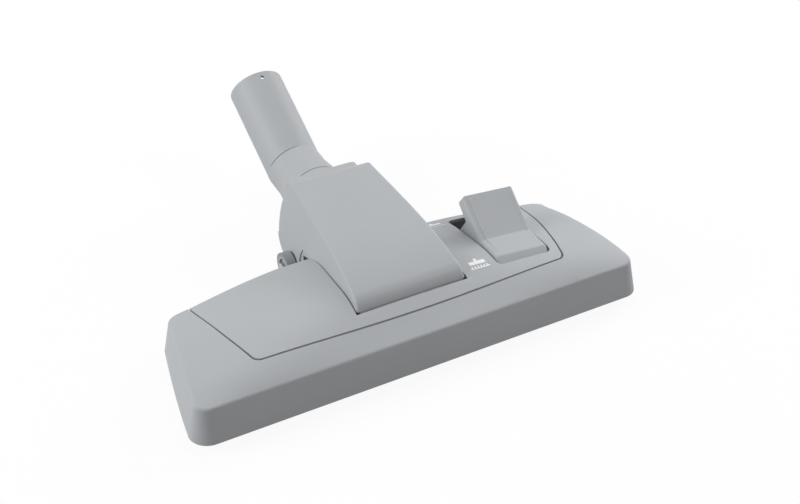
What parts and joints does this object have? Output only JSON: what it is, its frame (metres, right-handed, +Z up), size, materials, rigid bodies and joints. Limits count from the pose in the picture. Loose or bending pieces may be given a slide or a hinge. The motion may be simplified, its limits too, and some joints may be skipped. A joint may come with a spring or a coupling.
{
  "type": "vacuum floor brush head",
  "caption": "Wide low vacuum floor nozzle in grey plastic with a tilting wedge neck on small wheels, a swivelling wand elbow and a foot pedal that lifts the brush strips.",
  "frame": {"origin": "on the floor under the middle of the whole part's bounding box", "axes": "+X along the head to the pedal side, +Y back towards the wand, +Z up"},
  "size_m": [0.2864, 0.2504, 0.084],
  "materials": {
    "head_plastic": "fine grained moulded surface",
    "cover_plastic": "fine grained moulded surface",
    "neck_plastic": "fine grained moulded surface",
    "elbow_plastic": "smooth moulded surface",
    "pedal_plastic": "fine grained moulded surface",
    "sole_steel": "brushed along the head",
    "lifter_velour": "short pile",
    "screw_steel": "plain",
    "pin_steel": "turned",
    "spring_steel": "rolled",
    "seal_felt": "felt",
    "seal_rubber": "matte",
    "wheel_plastic": "moulded",
    "tyre_rubber": "matte",
    "carriage_plastic": "moulded",
    "brush_back_plastic": "moulded",
    "bristle_nylon": "nylon hair"
  },
  "bodies": {
    "head": {"base_housing": "head_plastic", "top_cover": "cover_plastic", "sole_plate": "sole_steel", "front_thread_lifter": "lifter_velour", "rear_thread_lifter": "lifter_velour", "cover_screws": "screw_steel", "sole_screws": "screw_steel", "left_neck_pin": "pin_steel", "right_neck_pin": "pin_steel", "pedal_pin": "pin_steel", "detent_spring": "spring_steel", "drum_seal": "seal_felt"},
    "neck": {"neck_upper_shell": "neck_plastic", "neck_lower_shell": "neck_plastic", "neck_collar": "neck_plastic", "swivel_seal": "seal_rubber", "neck_screws": "screw_steel", "wheel_axle": "pin_steel", "axle_caps": "pin_steel"},
    "elbow": {"swivel_elbow": "elbow_plastic"},
    "left_wheel_set": {"left_wheel": "wheel_plastic", "left_tyre": "tyre_rubber"},
    "right_wheel_set": {"right_wheel": "wheel_plastic", "right_tyre": "tyre_rubber"},
    "pedal": {"pedal": "pedal_plastic"},
    "brush": {"brush_carriage": "carriage_plastic", "front_brush_back": "brush_back_plastic", "rear_brush_back": "brush_back_plastic", "front_bristles": "bristle_nylon", "rear_bristles": "bristle_nylon"}
  },
  "joints": [
    {"name": "neck_tilt", "type": "hinge", "parent": "head", "child": "neck", "pos_m": [0, -0.07826, 0.0325], "axis": [1, 0, 0], "range_deg": [0, 50]},
    {"name": "elbow_swivel", "type": "hinge", "parent": "neck", "child": "elbow", "pos_m": [0, 0.06004, 0.0375], "axis": [0, 0.9962, 0.0872], "range_deg": [-90, 90]},
    {"name": "left_wheel_spin", "type": "hinge", "parent": "neck", "child": "left_wheel_set", "pos_m": [-0.0352, -0.00296, 0.0095], "axis": [1, 0, 0], "continuous": true},
    {"name": "right_wheel_spin", "type": "hinge", "parent": "neck", "child": "right_wheel_set", "pos_m": [0.0352, -0.00296, 0.0095], "axis": [1, 0, 0], "continuous": true},
    {"name": "brush_lift", "type": "slide", "parent": "head", "child": "brush", "axis": [0, 0, 1], "range_m": [0, 0.0065]},
    {"name": "pedal_rock", "type": "hinge", "parent": "head", "child": "pedal", "pos_m": [0.0763, -0.07296, 0.0305], "axis": [0.9962, 0, -0.0872], "range_deg": [-26, 0]}
  ],
  "couplings": [
    {"joint": "pedal_rock", "follows": "brush_lift", "rad_per_m": -69.8}
  ]
}
